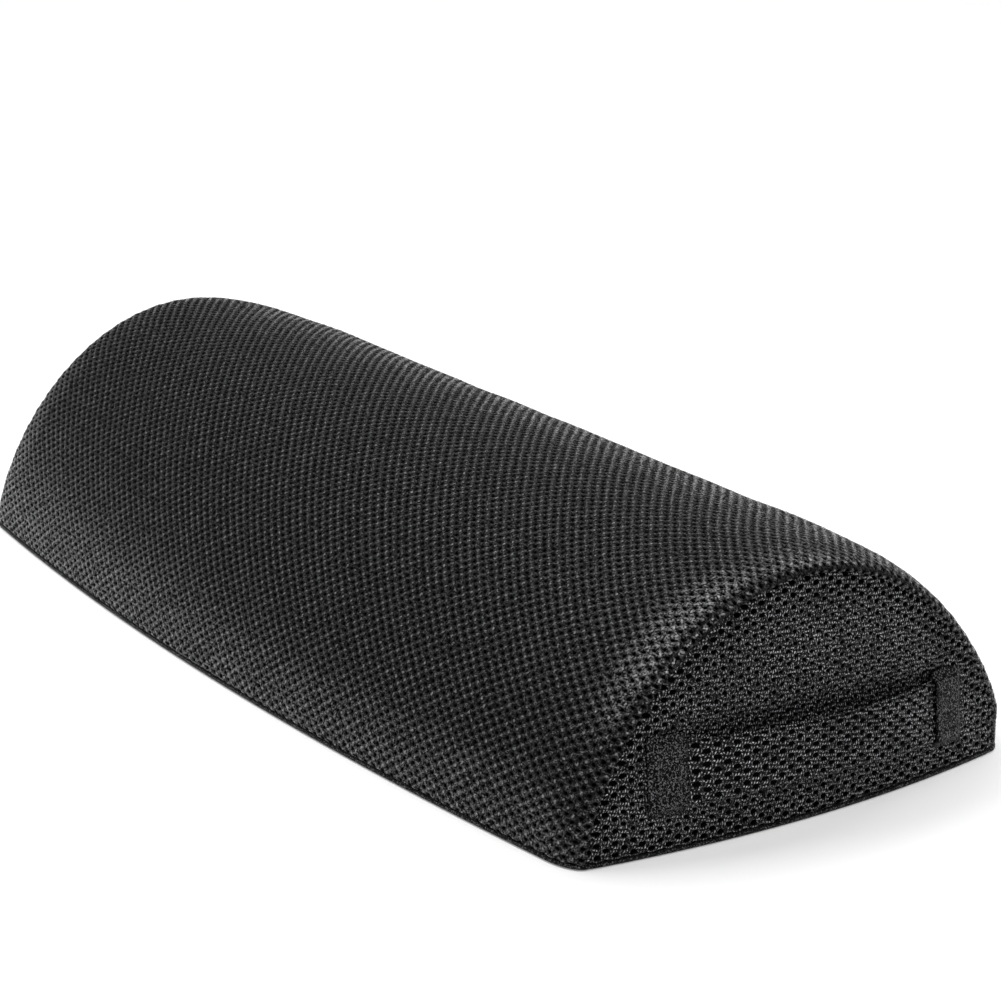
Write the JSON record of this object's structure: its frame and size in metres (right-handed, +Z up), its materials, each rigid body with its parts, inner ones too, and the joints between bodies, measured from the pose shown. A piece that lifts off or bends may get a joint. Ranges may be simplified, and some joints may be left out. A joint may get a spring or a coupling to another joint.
{
  "type": "footrest cushion",
  "caption": "Half-moon foot-rest cushion: a foam core in a zipped cover of black spacer mesh, with a grip-dot base and a sewn carry handle on one end.",
  "frame": {"origin": "on the floor under the middle of the cushion, at the middle grip dot", "axes": "+X along the cushion towards the end with the handle, -Y towards the person who uses it, +Y towards the zip, +Z up"},
  "size_m": [0.5051, 0.2357, 0.098],
  "materials": {
    "spacer_mesh": "black polyester spacer mesh with hexagonal openings and a slight sheen",
    "plain_weave": "black plain-woven polyester, folded and sewn",
    "base_fabric": "black woven base fabric",
    "grip_rubber": "printed rubber grip dots, satin",
    "foam": "dark open-cell polyurethane foam",
    "zip_tape": "black knitted polyester tape",
    "zip_teeth": "black moulded acetal",
    "zip_metal": "black enamel on zinc, worn at the edges"
  },
  "bodies": {
    "cushion": {"foam_core": "foam", "top_panel": "spacer_mesh", "end_panel_right": "spacer_mesh", "end_panel_left": "spacer_mesh", "base_panel": "base_fabric", "grip_dots": "grip_rubber", "handle_strap": "spacer_mesh", "handle_tab_front": "plain_weave", "handle_tab_rear": "plain_weave", "zip_tape_upper": "zip_tape", "zip_tape_lower": "zip_tape", "zip_teeth_upper": "zip_teeth", "zip_teeth_lower": "zip_teeth", "zip_top_stops": "zip_metal", "zip_bottom_stop": "zip_metal"},
    "slider": {"zip_slider": "zip_metal"},
    "pull_tab": {"zip_pull": "zip_metal"}
  },
  "joints": [
    {"name": "zip_slide", "type": "slide", "parent": "cushion", "child": "slider", "axis": [1, 0, 0], "range_m": [0, 0.3285], "deforming": ["zip_teeth_upper", "zip_teeth_lower"]},
    {"name": "pull_hinge", "type": "hinge", "parent": "slider", "child": "pull_tab", "pos_m": [-0.16425, 0.11618, 0.01], "axis": [0, 0, -1], "range_deg": [0, 175]}
  ]
}
